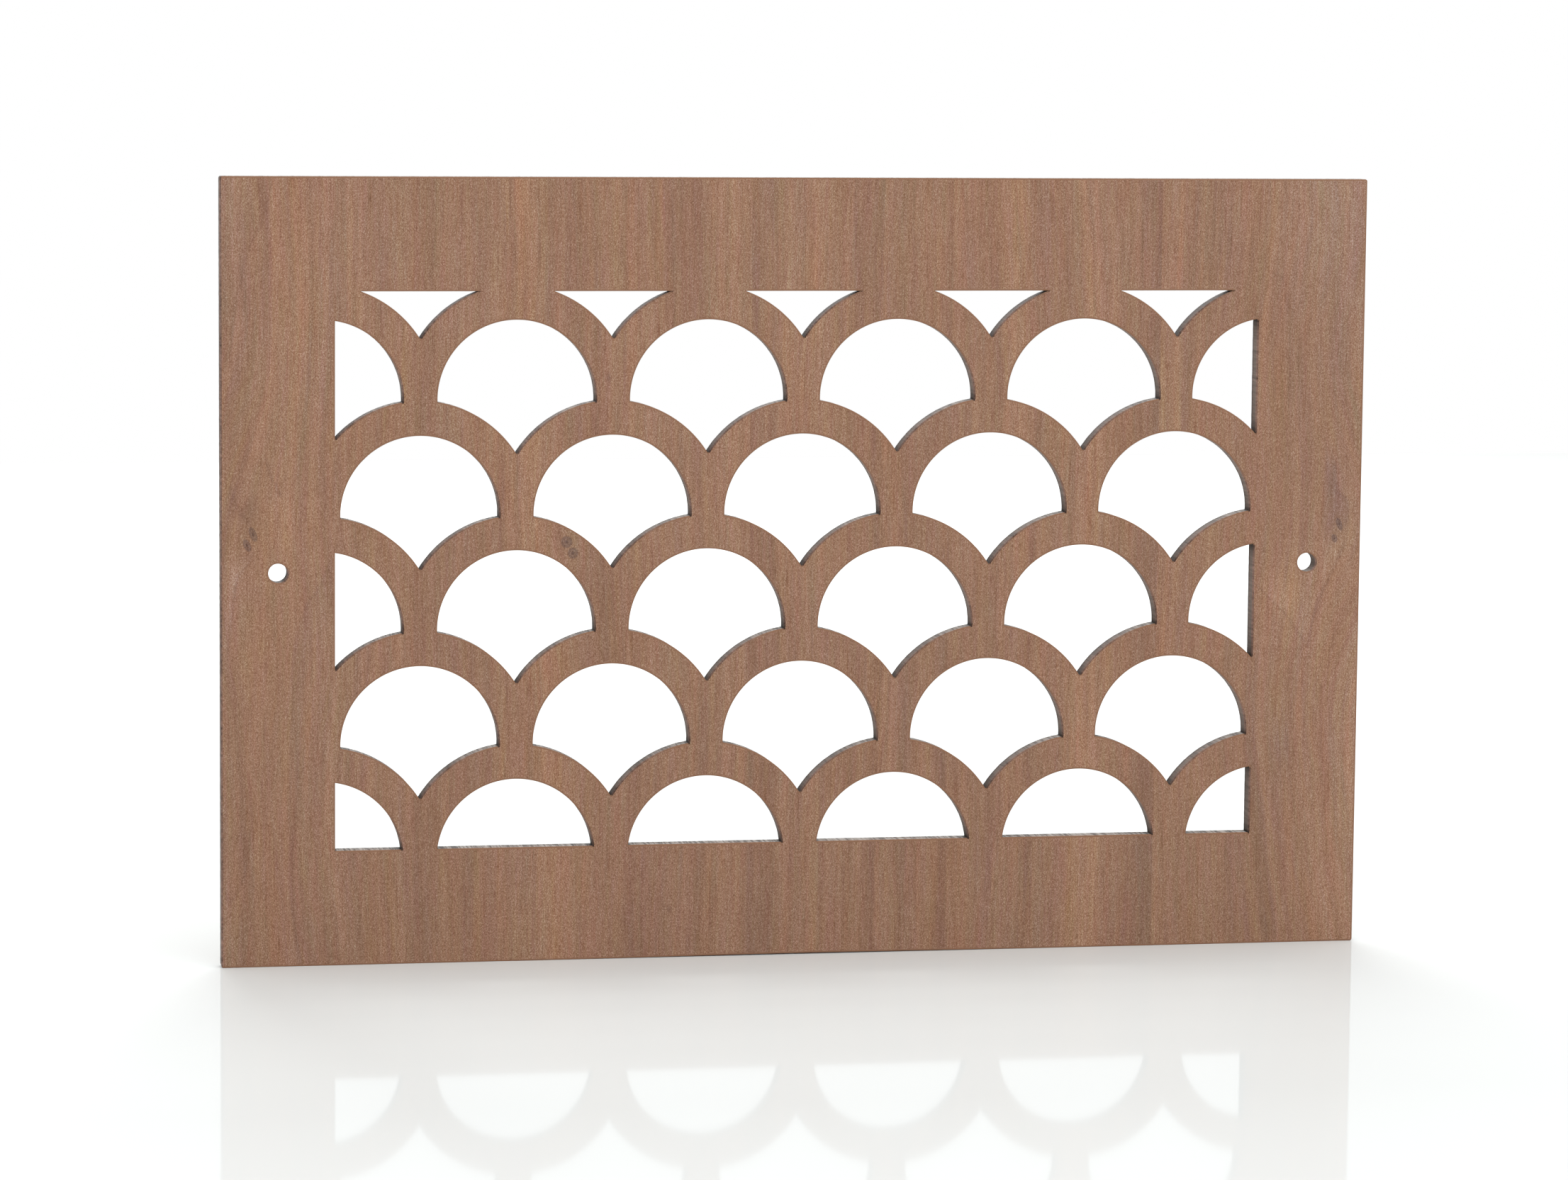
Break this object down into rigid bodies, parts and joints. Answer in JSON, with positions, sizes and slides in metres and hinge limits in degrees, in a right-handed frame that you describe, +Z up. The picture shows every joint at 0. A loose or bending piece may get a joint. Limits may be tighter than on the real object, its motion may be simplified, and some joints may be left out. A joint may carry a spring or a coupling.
{
  "type": "wall vent register",
  "caption": "Flat wood-veneered wall vent cover panel with a fish-scale field of cut-through openings and a plain screw hole in each side border.",
  "frame": {"origin": "centre of the flat back face, which lies on the wall", "axes": "+X to the right of a person who faces the register, along its length; +Y into the wall, along its thickness; +Z up. The show face looks along -Y."},
  "size_m": [0.3112, 0.0048, 0.2096],
  "materials": {
    "veneer": "matt sanded veneer with an upright grain, on a board with dark cut edges"
  },
  "bodies": {
    "root": {"vent_panel": "veneer"}
  },
  "joints": []
}
